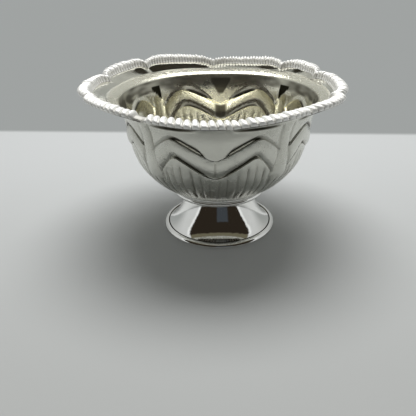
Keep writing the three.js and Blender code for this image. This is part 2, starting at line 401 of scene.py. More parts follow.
SEAT_RADIUS = COLLAR_RADIUS + SEAT_ROUND
SEAT_LINE = SEAT_HEIGHT + SHEET / 2
BAND_START = RIM_RADIUS - BAND_WIDTH


def link(data, name):
    made = bpy.data.objects.new(name, data)
    bpy.context.scene.collection.objects.link(made)
    return made


def make_camera():
    data = bpy.data.cameras.new("camera")
    data.sensor_width = SENSOR_WIDTH
    data.lens = LENS
    data.clip_start = CLIP_START
    camera = link(data, "camera")
    place = Matrix.Translation(AXIS + Vector(CAMERA_PLACE))
    turn = Matrix.Rotation(math.radians(CAMERA_TURN), 4, "Z")
    tilt = Matrix.Rotation(math.radians(90 - CAMERA_DOWN), 4, "X")
    roll = Matrix.Rotation(math.radians(CAMERA_ROLL), 4, "Z")
    camera.matrix_world = place @ turn @ tilt @ roll
    bpy.context.scene.camera = camera
    bpy.context.scene.view_settings.view_transform = "Standard"


# Small helpers for node trees
def add(tree, kind, **values):
    node = tree.nodes.new(kind)
    for name, value in values.items():
        setattr(node, name, value)
    return node


def feed(tree, node, socket, value):
    """Sets an input to a value, or links an output to it."""
    target = node.inputs[socket]
    if isinstance(value, bpy.types.NodeSocket):
        tree.links.new(value, target)
    else:
        target.default_value = value


def math_node(tree, operation, *values):
    node = add(tree, "ShaderNodeMath", operation=operation)
    for i, value in enumerate(values):
        feed(tree, node, i, value)
    return node.outputs[0]


def product(tree, *values):
    return math_node(tree, "MULTIPLY", *values)


def vector_node(tree, operation, *values):
    node = add(tree, "ShaderNodeVectorMath", operation=operation)
    for i, value in enumerate(values):
        feed(tree, node, "Scale" if operation == "SCALE" and i == 1 else i, value)
    return node.outputs[0]


def map_range(tree, value, low, high, out_low=0.0, out_high=1.0, smooth=True):
    node = add(tree, "ShaderNodeMapRange", interpolation_type="SMOOTHSTEP" if smooth else "LINEAR")
    feed(tree, node, "Value", value)
    feed(tree, node, "From Min", low)
    feed(tree, node, "From Max", high)
    feed(tree, node, "To Min", out_low)
    feed(tree, node, "To Max", out_high)
    return node.outputs["Result"]


def above(tree, value, span):
    """0 under a span, 1 over it and smooth in it."""
    return map_range(tree, value, *span)


def below(tree, value, span):
    """1 under a span, 0 over it and smooth in it."""
    return map_range(tree, value, *span, 1.0, 0.0)


def mix_colour(tree, factor, first, second):
    node = add(tree, "ShaderNodeMix", data_type="RGBA")
    feed(tree, node, "Factor", factor)
    feed(tree, node, 6, first)
    feed(tree, node, 7, second)
    return node.outputs[2]


def noise_node(tree, vector, scale, detail=3.0, rough=0.5):
    node = add(tree, "ShaderNodeTexNoise")
    feed(tree, node, "Vector", vector)
    feed(tree, node, "Scale", scale)
    feed(tree, node, "Detail", detail)
    feed(tree, node, "Roughness", rough)
    return node.outputs["Fac"]


def make_world():
    """Metal sees a dark front, bright sides, a grey back with a dark beam and a pale ceiling."""
    world = bpy.data.worlds.new("studio")
    bpy.context.scene.world = world
    world.use_nodes = True
    tree = world.node_tree
    tree.nodes.clear()
    way = add(tree, "ShaderNodeTexCoord").outputs["Generated"]
    parts = add(tree, "ShaderNodeSeparateXYZ")
    feed(tree, parts, 0, way)
    across, along, up = parts.outputs
    side = math_node(tree, "ABSOLUTE", across)
    turn = math_node(tree, "ARCTAN2", side, product(tree, along, -1.0))
    low_back = mix_colour(tree, above(tree, up, BACK_FADE), LOW_BACK, HIGH_BACK)
    colour = mix_colour(tree, above(tree, turn, SIDE_TO_BACK), SIDE_LIGHT, low_back)

    ripple = noise_node(tree, way, **RIPPLE)
    height = math_node(tree, "MULTIPLY_ADD", ripple, RIPPLE_HEIGHT, up)
    beam = product(tree, above(tree, height, BEAM_BOTTOM), below(tree, height, BEAM_TOP))
    beam = product(tree, beam, above(tree, turn, BEAM_TURN))
    colour = mix_colour(tree, beam, colour, DARK_BEAM)

    spread = math_node(tree, "MULTIPLY_ADD", up, SPREAD_LEAN, turn)
    ragged = noise_node(tree, way, **RAGGED)
    spread = math_node(tree, "SUBTRACT", spread, RAGGED_MIDDLE)
    spread = math_node(tree, "MULTIPLY_ADD", ragged, RAGGED_SPREAD, spread)
    glow = product(tree, above(tree, spread, GLOW_START), below(tree, spread, GLOW_END))
    glow = product(tree, glow, below(tree, up, GLOW_TOP))
    colour = mix_colour(tree, glow, colour, BRIGHT_EDGE)

    front = product(tree, below(tree, spread, FRONT_EDGE), below(tree, up, FRONT_TOP))
    ragged_height = math_node(tree, "MULTIPLY_ADD", ragged, RAGGED_HEIGHT, up)
    dark = mix_colour(tree, above(tree, ragged_height, OLIVE_START), DARK_FRONT, OLIVE_EDGE)
    heading = math_node(tree, "ARCTAN2", across, product(tree, along, -1.0))
    patch = product(tree, above(tree, heading, PATCH_LEFT), below(tree, heading, PATCH_RIGHT))
    patch = product(tree, patch, below(tree, height, PATCH_TOP))
    dark = mix_colour(tree, patch, dark, BLUE_PATCH)
    colour = mix_colour(tree, front, colour, dark)
    colour = mix_colour(tree, above(tree, up, CEILING_START), colour, CEILING)

    rays = add(tree, "ShaderNodeLightPath")
    mirrored = math_node(tree, "MAXIMUM", rays.outputs["Is Glossy Ray"], rays.outputs["Is Camera Ray"])
    shown = mix_colour(tree, mirrored, FILL, colour)
    seen = add(tree, "ShaderNodeBackground")
    feed(tree, seen, "Color", shown)
    feed(tree, seen, "Strength", 1.0)
    out = add(tree, "ShaderNodeOutputWorld")
    tree.links.new(seen.outputs[0], out.inputs["Surface"])


def make_lamp():
    data = bpy.data.lights.new("softbox", "AREA")
    data.shape = "ELLIPSE"
    data.size = LAMP_WIDTH
    data.size_y = LAMP_DEPTH
    data.energy = LAMP_POWER
    lamp = link(data, "softbox")
    place = AXIS + Vector(LAMP_PLACE)
    aim = (AXIS + Vector(LAMP_AIM) - place).to_track_quat("-Z", "Y")
    lamp.matrix_world = Matrix.Translation(place) @ aim.to_matrix().to_4x4()


def make_floor():
    """A pale table, painted darker towards the front as shade on its near part, with a grey ground beyond
    its far edge.
    """
    mesh = bpy.data.meshes.new("floor")
    corners = ((-1, -1), (1, -1), (1, 1), (-1, 1))
    mesh.from_pydata([(x * TABLE_HALF, y * TABLE_HALF, 0) for x, y in corners], [], [(0, 1, 2, 3)])
    mesh.materials.append(floor_material())
    link(mesh, "floor")


def floor_material():
    material = bpy.data.materials.new("pale_table")
    material.use_nodes = True
    tree = material.node_tree
    shader = tree.nodes["Principled BSDF"]
    place = add(tree, "ShaderNodeTexCoord").outputs["Object"]
    parts = add(tree, "ShaderNodeSeparateXYZ")
    feed(tree, parts, 0, place)
    across, along, _ = parts.outputs
    edge = math_node(tree, "MULTIPLY_ADD", across, TABLE_SKEW, along)
    beyond = above(tree, edge, TABLE_EDGE)
    grain = noise_node(tree, place, TABLE_GRAIN)
    # Painted shade: the table's colour darkens from its far part to its near part
    pale = mix_colour(tree, above(tree, along, TABLE_SHADE_FADE), SHADED_NEAR_TABLE, FAR_TABLE)
    pale = mix_colour(tree, product(tree, grain, GRAIN_SHARE), pale, MIDDLE_GREY)
    feed(tree, shader, "Base Color", mix_colour(tree, beyond, pale, BLACK))
    feed(tree, shader, "Roughness", TABLE_ROUGHNESS)
    shader.inputs["Specular IOR Level"].default_value = TABLE_SPECULAR
    rays = add(tree, "ShaderNodeLightPath")
    seen = math_node(tree, "MAXIMUM", rays.outputs["Is Camera Ray"], rays.outputs["Is Glossy Ray"])
    feed(tree, shader, "Emission Color", mix_colour(tree, product(tree, beyond, seen), BLACK, GROUND))
    shader.inputs["Emission Strength"].default_value = 1.0
    return material


def silver_group():
    """Shader group for worn silver with painted shade: handling marks, old polish and painted shade in the
    recesses, black painted shade where a recess is deepest, and small dents.
    """
    group = bpy.data.node_groups.new("worn_silver", "ShaderNodeTree")
    for name in ("Bright", "Tarnish"):
        group.interface.new_socket(name, in_out="INPUT", socket_type="NodeSocketColor")
    for name in ("Recess", "Film", "Gloss", "Haze", "Scale", "Dents"):
        group.interface.new_socket(name, in_out="INPUT", socket_type="NodeSocketFloat")
    group.interface.new_socket("Colour", in_out="OUTPUT", socket_type="NodeSocketColor")
    for name in ("Roughness", "Height"):
        group.interface.new_socket(name, in_out="OUTPUT", socket_type="NodeSocketFloat")
    given = add(group, "NodeGroupInput").outputs
    made = add(group, "NodeGroupOutput")

    place = add(group, "ShaderNodeTexCoord").outputs["Object"]
    broad = noise_node(group, place, product(group, given["Scale"], BROAD_SCALE), **BROAD)
    fine = noise_node(group, place, product(group, given["Scale"], FINE_SCALE), **FINE)
    stretch = vector_node(group, "MULTIPLY", place, SCRATCH_STRETCH)
    scratch = noise_node(group, stretch, product(group, given["Scale"], SCRATCH_SCALE), **SCRATCH)

    patches = above(group, broad, PATCHES)
    film = product(group, patches, given["Film"])
    # Painted shade: the recess darkens the silver towards the tarnish colour, and past 1 to black
    darkening = math_node(group, "MAXIMUM", film, given["Recess"])
    colour = mix_colour(group, math_node(group, "MINIMUM", darkening, 1.0), given["Bright"], given["Tarnish"])
    deep_shade = add(group, "ShaderNodeClamp")
    feed(group, deep_shade, "Value", math_node(group, "SUBTRACT", given["Recess"], 1.0))
    feed(group, made, "Colour", mix_colour(group, deep_shade.outputs[0], colour, DEEP_SHADE_BLACK))

    haze = product(group, fine, given["Haze"])
    haze = product(group, haze, math_node(group, "ADD", patches, HAZE_EVEN))
    rough = math_node(group, "ADD", given["Gloss"], haze)
    rough = math_node(group, "ADD", rough, product(group, given["Recess"], RECESS_ROUGHNESS))
    feed(group, made, "Roughness", rough)

    lumps = math_node(group, "MULTIPLY_ADD", fine, FINE_LUMPS, broad)
    dented = product(group, lumps, given["Dents"])
    scratched = product(group, scratch, SCRATCH_HEIGHT)
    feed(group, made, "Height", math_node(group, "ADD", dented, scratched))
    return group


WORN_SHADED_SILVER = silver_group()


def silver(name, bump_height, **settings):
    """A silver finish. Its settings are inputs of the group, each a value or an attribute's name."""
    material = bpy.data.materials.new(name)
    material.use_nodes = True
    tree = material.node_tree
    shader = tree.nodes["Principled BSDF"]
    shader.inputs["Metallic"].default_value = 1.0
    silver_node = add(tree, "ShaderNodeGroup", node_tree=WORN_SHADED_SILVER)
    for socket, value in settings.items():
        if isinstance(value, str):
            value = add(tree, "ShaderNodeAttribute", attribute_name=value).outputs["Fac"]
        feed(tree, silver_node, socket, value)
    bump = add(tree, "ShaderNodeBump")
    bump.inputs["Distance"].default_value = bump_height
    feed(tree, bump, "Height", silver_node.outputs["Height"])
    feed(tree, shader, "Base Color", silver_node.outputs["Colour"])
    feed(tree, shader, "Roughness", silver_node.outputs["Roughness"])
    feed(tree, shader, "Normal", bump.outputs["Normal"])
    return material, tree, silver_node


# Curves of the bowl
def clamp(value):
    return min(max(value, 0.0), 1.0)


def smooth(value, low, high):
    share = clamp((value - low) / (high - low))
    return share * share * (3 - 2 * share)


def lerp(low, high, share):
    return low + (high - low) * share


def scallop(angle):
    """Distance from the nearest notch as a share of the half scallop, 1 at the notch and 0 at the crest."""
    for start, end in zip(NOTCHES, NOTCHES[1:] + [NOTCHES[0] + 360]):
        along = (angle - start) % 360
        if along <= end - start:
            return abs(2 * along / (end - start) - 1)
    return 0.0


def crest_radius(angle):
    return RIM_RADIUS - RIM_OFFSET * math.sin(math.radians(angle))


def edge_radius(angle):
    return crest_radius(angle) - NOTCH_DEPTH * scallop(angle) ** NOTCH_SHARPNESS


def hand_shape(angle, share):
    """Fall of the flange at a share of its width: dips at notches, each scallop's tilt and dish, dings."""
    fall = CREASE_DEPTH * scallop(angle) ** CREASE_SHARPNESS * share
    for depth, tilt, start, end in zip(DISHES, TILTS, NOTCHES, NOTCHES[1:] + [NOTCHES[0] + 360]):
        if (angle - start) % 360 < end - start:
            middle = 1 - scallop(angle) ** DISH_SHARPNESS
            fall += depth * MM * middle * math.sin(math.pi * clamp(share / DISH_END))
            fall -= tilt * MM * middle * share
    for place, half, lift in DINGS:
        fall -= lift * MM * share * math.exp(-((angle - place) / half) ** 2)
    return fall


def sway(angle, radius):
    out = max((radius - NECK_RADIUS) / (RIM_RADIUS - NECK_RADIUS), 0.0)
    return RIM_SWAY * out * math.sin(math.radians(angle - PANEL_TURN) * PANELS / 2) ** 2


def band_height(radius):
    return NECK_HEIGHT + BAND_RISE + (radius - BAND_START) * math.tan(BAND_SLOPE)


BAND_LINE = band_height(BAND_START) - SHEET / 2


def wall_points():
    points = []
    for reach, rise in WALL_SHAPE:
        points.append((lerp(SEAT_RADIUS, NECK_RADIUS, reach), lerp(SEAT_LINE, NECK_HEIGHT, rise)))
    points.append((lerp(NECK_RADIUS, BAND_START, BEND_REACH), lerp(NECK_HEIGHT, BAND_LINE, BEND_RISE)))
    points.append((BAND_START, BAND_LINE))
    return [Vector(point) for point in points]


WALL_POINTS = wall_points()


def wall_spline(share):
    """Point and direction on the middle line of the sheet, a Catmull-Rom curve through the wall's points."""
    last = len(WALL_POINTS) - 1
    place = min(share * last, last - 1e-9)
    i = int(place)
    t = place - i
    p0, p1, p2, p3 = (WALL_POINTS[min(max(k, 0), last)] for k in (i - 1, i, i + 1, i + 2))
    v0, v1 = (p2 - p0) / 2, (p3 - p1) / 2
    a, b = 2 * p1 - 2 * p2 + v0 + v1, -3 * p1 + 3 * p2 - 2 * v0 - v1
    return a * t ** 3 + b * t ** 2 + v0 * t + p1, (3 * a * t ** 2 + 2 * b * t + v0).normalized()


LINE_HEIGHTS = [wall_spline(i / LINE_STEPS)[0].y for i in range(LINE_STEPS + 1)]


def share_at(height):
    """Share along the wall's line at a height, as the line climbs all the way."""
    i = min(max(bisect_right(LINE_HEIGHTS, height) - 1, 0), LINE_STEPS - 1)
    low, high = LINE_HEIGHTS[i], LINE_HEIGHTS[i + 1]
    return (i + clamp((height - low) / (high - low))) / LINE_STEPS


def panel_place(angle):
    """Degrees from the middle of the panel, on the front panel's scale."""
    for start, end in zip(PILLARS, PILLARS[1:] + [PILLARS[0] + 360]):
        along = (angle - start) % 360
        if along <= end - start:
            return (2 * along / (end - start) - 1) * PANEL_HALF
    return 0.0


def arch_line(across, edge, soft):
    """Height of a strap's edge: a straight inner arm, a bowed outer arm and a rounded valley."""
    if across > edge["peak_at"]:
        share = min((across - edge["peak_at"]) / (edge["foot_at"] - edge["peak_at"]), 1.0)
        end, bow = edge["foot"], ARM_BOW
    else:
        share = 1 - math.hypot(across, edge["flat"]) / math.hypot(edge["peak_at"], edge["flat"])
        end, bow = edge["valley"], 1.0
    share = (math.hypot(share, soft) - soft) / (math.hypot(1, soft) - soft)
    return NECK_HEIGHT - lerp(edge["peak"], end, share ** bow)


def slope(offset, reach, lip, power):
    """Depth share of a chased line, a long slope above it and a short lip below."""
    if offset >= 0:
        return max(1 - offset / reach, 0.0) ** power
    return max(1 + offset / lip, 0.0)


def pillar_edge(height):
    """Degrees from the panel's middle to the pillar, which spreads downwards."""
    return PILLAR_EDGE - PILLAR_SPREAD * smooth(NECK_HEIGHT - height, *PILLAR_SPREADS)


def pocket(angle, height):
    """Painted shade for the small three cornered pocket at the top of a pillar's inside."""
    left, right = POCKET_SPAN
    for middle in POCKETS:
        turn = (angle - middle + 180) % 360 - 180
        out = turn if middle > 180 else -turn
        low = NECK_HEIGHT - POCKET_DEPTH + POCKET_SLANT * (out - left)
        if left < out < right and low < height < NECK_HEIGHT - POCKET_TOP:
            return POCKET_SHADE
    return 0.0


def valley_shade(across, height, inside):
    """Painted shade inside at the panel's middle: on the strap's valley, and a wedge that widens upwards."""
    valley = (1 - smooth(across, *VALLEY_EDGE)) * smooth(inside, *VALLEY_START)
    valley *= 1 - smooth(inside, *VALLEY_END)
    rise = height - NECK_HEIGHT + WEDGE_DEPTH
    half = WEDGE_HALF * clamp(rise / WEDGE_OPENS)
    wedge = (1 - smooth(across - half, 0, WEDGE_SOFT)) * smooth(rise, 0, WEDGE_START)
    return max(VALLEY_SHADE * valley, WEDGE_SHADE * wedge)


def ring_shade(angle, height):
    """Darkness of the patchy ring of painted shade under the flange inside, most of it at the two sides."""
    rise = height - NECK_HEIGHT
    wide, tall, row = RING_PATCH
    patchy = noise.noise(Vector((angle / wide, height / tall, row)))
    low = -RING_DEPTH - RING_RAGGED * patchy
    band = smooth(rise, low, low + RING_SOFT) * (1 - smooth(rise, *RING_TOP))
    return band * (lerp(RING_BACK, RING_SIDE, abs(math.sin(math.radians(angle)))) + RING_PATCHY * patchy)


def strap_lines(across, height, upper, lower):
    """Depth shares of the chased lines over and under the strap."""
    open_part = smooth(across, *UPPER_OPENS)
    peak = smooth(across, *UPPER_PEAK)
    reach = lerp(VALLEY_REACH, UPPER_REACH, open_part * (1 - PEAK_SHORTER * peak))
    over = slope(height - upper, reach, UPPER_LIP, UPPER_CURVE) * open_part * (1 - PEAK_SHALLOWER * peak)
    arm = lerp(LOWER_VALLEY, 1.0, smooth(across, *LOWER_OPENS))
    arm *= 1 - LOWER_OUTER * smooth(across, *OUTER_ARM)
    return over, slope(height - lower, LOWER_REACH, LOWER_LIP, LOWER_CURVE) * arm


def flute(angle, height, lower):
    """Depth share of the flutes under the strap, a little wavy and uneven."""
    wide, tall = WANDER_SIZE
    wander = FLUTE_WANDER * noise.noise(Vector((angle / wide, height / tall, 0)))
    reed = abs(math.sin(math.radians(angle + wander) * FLUTES / 2))
    uneven = FLUTE_EVEN + FLUTE_UNEVEN * noise.noise(Vector((angle / UNEVEN_SIZE, UNEVEN_ROW, 0)))
    field = smooth(height, FLUTE_START, FLUTE_FULL) * smooth(lower - height, *FLUTE_TOP)
    return (1 - reed) ** FLUTE_SHARPNESS * field * uneven


def pillar(across, height, side):
    """Height share of the round pillar between two panels, and depth share of the crease beside it."""
    edge = pillar_edge(height)
    climb = smooth(height, *PILLAR_FOOT)
    if side < 0:
        climb *= 1 - smooth(height, *PILLAR_TOP_INSIDE)
    share = clamp((across - edge) / (PANEL_HALF - edge))
    crease = max(1 - abs(across - edge) / CREASE_HALF, 0.0) * climb
    return math.sin(math.pi / 2 * share) ** PILLAR_FULLNESS * climb, crease


def neck_fold(across, height):
    """Depth share of the fold under the flange outside."""
    fold = math.sin(math.pi * clamp((across - FOLD_START) / FOLD_LENGTH)) ** FOLD_FULLNESS
    return fold * max(1 - abs(height - NECK_HEIGHT + FOLD_DROP) / FOLD_HALF, 0.0)


def polish_and_shade(depth, kind):
    """Darkness of the old polish and painted shade in a recess at a depth share."""
    darkness, power = kind
    return darkness * depth ** power


def relief(angle, height, side):
    """Push of the sheet and darkness of the recess, old polish and painted shade, at a place on the wall."""
    across = abs(panel_place(angle))
    soft = OUTER_SOFT if side > 0 else INNER_SOFT
    upper = arch_line(across, UPPER_EDGE, soft)
    lower = arch_line(across, LOWER_EDGE, soft)
    edge = pillar_edge(height)
    panel = 1 - smooth(across, edge + PANEL_END[0], edge + PANEL_END[1])
    outer_arm = smooth(across, *OUTER_ARM)
    inside = clamp((height - lower) / (upper - lower))
    over, under = strap_lines(across, height, upper, lower)
    vein = max(1 - across / VEIN_HALF, 0.0) * smooth(inside, *VEIN_START) * (1 - smooth(inside, *VEIN_END))
    channel = flute(angle, height, lower)
    swell, crease = pillar(across, height, side)

    push = STRAP_BULGE * math.sin(math.pi * inside) ** STRAP_FULLNESS
    push -= max(UPPER_DEPTH * over, LOWER_DEPTH * under)
    push -= VEIN_DEPTH * vein
    push = push * panel - FLUTE_DEPTH * channel
    push += PILLAR_RISE * swell
    push -= PILLAR_CREASE * crease
    top = 1 - smooth(height, *RELIEF_TOP)

    if side < 0:
        line = polish_and_shade(max(over, under), INNER_LINE_SHADE) * panel * (1 - INNER_OUTER_LOSS * outer_arm)
        dark = (line + polish_and_shade(channel, INNER_FLUTE_SHADE)) * top
        middle = valley_shade(across, height, inside) * top
        return push * top, max(dark, pocket(angle, height), middle, ring_shade(angle, height))

    # Black painted shade in the fold under the flange outside
    fold = neck_fold(across, height)
    upper_line = polish_and_shade(over, UPPER_SHADE) * (1 - UPPER_OUTER_LOSS * outer_arm)
    lower_line = polish_and_shade(under, LOWER_SHADE) * (1 - outer_arm)
    dark = max(
        max(upper_line, lower_line) * panel,
        polish_and_shade(channel, FLUTE_SHADE),
        polish_and_shade(vein, VEIN_SHADE),
        polish_and_shade(crease, CREASE_SHADE),
    )
    return push * top - NECK_FOLD * fold, max(dark * top, polish_and_shade(fold, FOLD_SHADE))


def dents(angle, height, radius):
    around = math.radians(angle)
    place = Vector((math.sin(around) * radius, math.cos(around) * radius, height)) / DENT_SIZE
    return DENT_DEPTH * noise.fractal(place, 1.0, 2.0, DENT_OCTAVES)


def round_point(angle, radius, height):
    turn = math.radians(angle)
    return AXIS + Vector((radius * math.sin(turn), -radius * math.cos(turn), height))


def wall_place(height, angle, side):
    """A point of the sheet: side +1 is outside and below, -1 inside and above."""
    share = share_at(height)
    at, way = wall_spline(share)
    push, dark = relief(angle, at.y, side)
    push += dents(angle, at.y, at.x) * smooth(share, *SEAT_DENTS)
    radius = at.x + side * way.y * SHEET / 2 + push
    height = at.y - side * way.x * SHEET / 2 + sway(angle, at.x)
    return round_point(angle, radius, height), dark


def band_place(share, angle, drop):
    radius = lerp(BAND_START, edge_radius(angle), share)
    height = band_height(radius) + sway(angle, radius) - drop - hand_shape(angle, share)
    height += dents(angle, 0.0, radius) * smooth(share, *BAND_DENTS) * (1 - smooth(share, *BAND_DENTS_END))
    return round_point(angle, radius, height)


def loop_of(make):
    return [make(i * 360 / COLUMNS) for i in range(COLUMNS)]


def row_heights(angle, side):
    """Heights of the wall's rows at one angle. Each stop has the number of rows from it to the next."""
    across = abs(panel_place(angle))
    soft = OUTER_SOFT if side > 0 else INNER_SOFT
    lower = arch_line(across, LOWER_EDGE, soft)
    upper = arch_line(across, UPPER_EDGE, soft)
    stops = (
        (SEAT_LINE, 28),
        (lower - ROW_LEAD, 4),
        (lower, 9),
        (lower + LOWER_REACH, 8),
        (upper - ROW_LEAD, 4),
        (upper, 9),
        (upper + UPPER_REACH, 8),
        (NECK_ROWS[0], 6),
        (NECK_ROWS[1], 8),
        (BAND_LINE, 0),
    )
    heights = []
    for (low, count), (high, _) in zip(stops, stops[1:]):
        heights += [lerp(low, high, j / count) for j in range(count)]
    return heights + [BAND_LINE]


def wall_side(side):
    columns = []
    for i in range(COLUMNS):
        angle = i * 360 / COLUMNS
        columns.append([wall_place(height, angle, side) for height in row_heights(angle, side)])
    return [list(row) for row in zip(*columns)]


def band_side(drop):
    shares = [(j + 1) / BAND_ROWS for j in range(BAND_ROWS)]
    return [loop_of(lambda angle, s=share: (band_place(s, angle, drop), 0.0)) for share in shares]


def flat_loop(radius, height):
    return loop_of(lambda angle: (round_point(angle, radius, height), 0.0))


def bowl_rings():
    floor = SEAT_HEIGHT + SHEET
    rings = [flat_loop(COLLAR_RADIUS * step, SEAT_HEIGHT) for step in SEAT_STEPS]
    rings.append(flat_loop(COLLAR_RADIUS, SEAT_HEIGHT))
    rings += wall_side(1) + band_side(SHEET)
    outer = len(rings)
    rings += list(reversed(wall_side(-1) + band_side(0)))
    rings.append(flat_loop(COLLAR_RADIUS - SHEET, floor))
    rings += [flat_loop(COLLAR_RADIUS * step, floor) for step in reversed(SEAT_STEPS)]
    return rings, outer


def bowl_faces(ring_count, low, high):
    """Four cornered faces between the rings, and fans to the middles of the first and the last ring."""
    faces = []
    for j in range(ring_count - 1):
        for i in range(COLUMNS):
            k = (i + 1) % COLUMNS
            a, b = j * COLUMNS, (j + 1) * COLUMNS
            faces.append((a + i, a + k, b + k, b + i))
    last = (ring_count - 1) * COLUMNS
    for i in range(COLUMNS):
        k = (i + 1) % COLUMNS
        faces.append((low, k, i))
        faces.append((high, last + i, last + k))
    return faces


def make_bowl():
    rings, outer = bowl_rings()
    places = [place for ring in rings for place, _ in ring]
    darks = [dark for ring in rings for _, dark in ring]
    low, high = len(places), len(places) + 1
    places += [AXIS + Vector((0, 0, SEAT_HEIGHT)), AXIS + Vector((0, 0, SEAT_HEIGHT + SHEET))]
    darks += [0.0, 0.0]
    mesh = bpy.data.meshes.new("bowl")
    mesh.from_pydata(places, [], bowl_faces(len(rings), low, high))
    # recess: darkness of old polish and painted shade in the relief's recesses
    mesh.attributes.new("recess", "FLOAT", "POINT").data.foreach_set("value", darks)

    # Which side a point is on: 0 outside, 0.5 on top of the flange, 1 inside
    start = outer * COLUMNS
    wall_start = start + BAND_ROWS * COLUMNS
    sides = [0.0] * len(places)
    sides[start:wall_start] = [0.5] * (wall_start - start)
    sides[wall_start:low] = [1.0] * (low - wall_start)
    sides[high] = 1.0
    mesh.attributes.new("inside", "FLOAT", "POINT").data.foreach_set("value", sides)
    mesh.shade_smooth()
    mesh.set_sharp_from_angle(angle=BOWL_SHARP)
    mesh.materials.append(bowl_material())
    return link(mesh, "bowl")


def bowl_material():
    """Satin silver, smooth on the flange, with painted light: brighter and warmer inside for light bouncing
    within the bowl, darker outside for the shade it mirrors; told apart by an attribute.
    """
    material, tree, silver_node = silver(
        "stamped_silver", 0.3 * MM, Tarnish=WALL_TARNISH_AND_SHADE, Recess="recess", Film=0.2, Haze=0.12, Scale=260.0,
    )
    inside = add(tree, "ShaderNodeAttribute", attribute_name="inside").outputs["Fac"]
    # Painted light: brighter, warmer silver inside and darker silver outside
    feed(tree, silver_node, "Bright", mix_colour(tree, inside, SHADED_OUTSIDE_SILVER, WARM_LIT_INSIDE_SILVER))
    wall = math_node(tree, "ABSOLUTE", math_node(tree, "SUBTRACT", inside, 0.5))
    feed(tree, silver_node, "Gloss", math_node(tree, "MULTIPLY_ADD", wall, WALL_GLOSS, FLANGE_GLOSS))
    feed(tree, silver_node, "Dents", math_node(tree, "MULTIPLY_ADD", wall, WALL_DENTS, FLANGE_DENTS))
    return material


def new_tree(name, sockets):
    """A Geometry Nodes tree with named inputs."""
    tree = bpy.data.node_groups.new(name, "GeometryNodeTree")
    tree.interface.new_socket("Geometry", in_out="INPUT", socket_type="NodeSocketGeometry")
    for label, kind in sockets:
        tree.interface.new_socket(label, in_out="INPUT", socket_type=kind)
    tree.interface.new_socket("Geometry", in_out="OUTPUT", socket_type="NodeSocketGeometry")
    return tree


def finish_tree(tree, given, geometry):
    """Ends a tree: crisp corners, real instances and the material."""
    real = add(tree, "GeometryNodeRealizeInstances")
    feed(tree, real, "Geometry", geometry)
    shaded = add(tree, "GeometryNodeSetShadeSmooth")
    feed(tree, shaded, "Geometry", real.outputs[0])
    angle = add(tree, "GeometryNodeInputMeshEdgeAngle").outputs["Unsigned Angle"]
    sharp = add(tree, "GeometryNodeStoreNamedAttribute", data_type="BOOLEAN", domain="EDGE")
    feed(tree, sharp, "Geometry", shaded.outputs[0])
    feed(tree, sharp, "Name", "sharp_edge")
    feed(tree, sharp, "Value", math_node(tree, "GREATER_THAN", angle, PIECE_SHARP))
    painted = add(tree, "GeometryNodeSetMaterial")
    feed(tree, painted, "Geometry", sharp.outputs[0])
    feed(tree, painted, "Material", given["Material"])
    made = add(tree, "NodeGroupOutput")
    feed(tree, made, "Geometry", painted.outputs[0])


def turned_tree():
    tree = new_tree("turned_piece", (("Turns", "NodeSocketInt"), ("Material", "NodeSocketMaterial")))
    given = add(tree, "NodeGroupInput").outputs
    profile = add(tree, "GeometryNodeMeshToCurve")
    feed(tree, profile, "Mesh", given["Geometry"])
    path = add(tree, "GeometryNodeCurvePrimitiveCircle")
    feed(tree, path, "Resolution", given["Turns"])
    feed(tree, path, "Radius", PATH_RADIUS)
    spun = add(tree, "GeometryNodeCurveToMesh")
    feed(tree, spun, "Curve", path.outputs[0])
    feed(tree, spun, "Profile Curve", profile.outputs[0])
    placed = add(tree, "GeometryNodeTransform")
    feed(tree, placed, "Geometry", spun.outputs[0])
    feed(tree, placed, "Translation", AXIS)
    finish_tree(tree, given, placed.outputs[0])
    return tree


def run_tree(source, tree, name, **inputs):
    """Runs a tree on a mesh and keeps the result as a plain mesh."""
    holder = link(source, name + "_source")
    modifier = holder.modifiers.new("made", "NODES")
    modifier.node_group = tree
    for item in tree.interface.items_tree:
        label = item.name.replace(" ", "_")
        if item.in_out == "INPUT" and label in inputs:
            modifier[item.identifier] = inputs[label]
    graph = bpy.context.evaluated_depsgraph_get()
    mesh = bpy.data.meshes.new_from_object(holder.evaluated_get(graph))
    mesh.name = name
    mesh.materials.clear()
    mesh.materials.append(inputs["Material"])
    holder.modifiers.remove(modifier)
    bpy.data.objects.remove(holder)
    return link(mesh, name)


def closed_line(name, points):
    mesh = bpy.data.meshes.new(name)
    count = len(points)
    mesh.from_pydata(points, [(i, (i + 1) % count) for i in range(count)], [])
    return mesh


def turned(name, profile, material):
    """A piece spun about the axis from a closed profile of (radius, height) points."""
    outline = [(radius - PATH_RADIUS, -height, 0) for radius, height in reversed(profile)]
    return run_tree(closed_line(name, outline), TURNED, name, Turns=TURNS, Material=material)


def arc(centre, radius, start, end, steps):
    """Points on an arc, with angles in degrees from the radius direction upwards."""
    points = []
    for i in range(steps + 1):
        turn = math.radians(lerp(start, end, i / steps))
        points.append((centre[0] + radius * math.cos(turn), centre[1] + radius * math.sin(turn)))
    return points


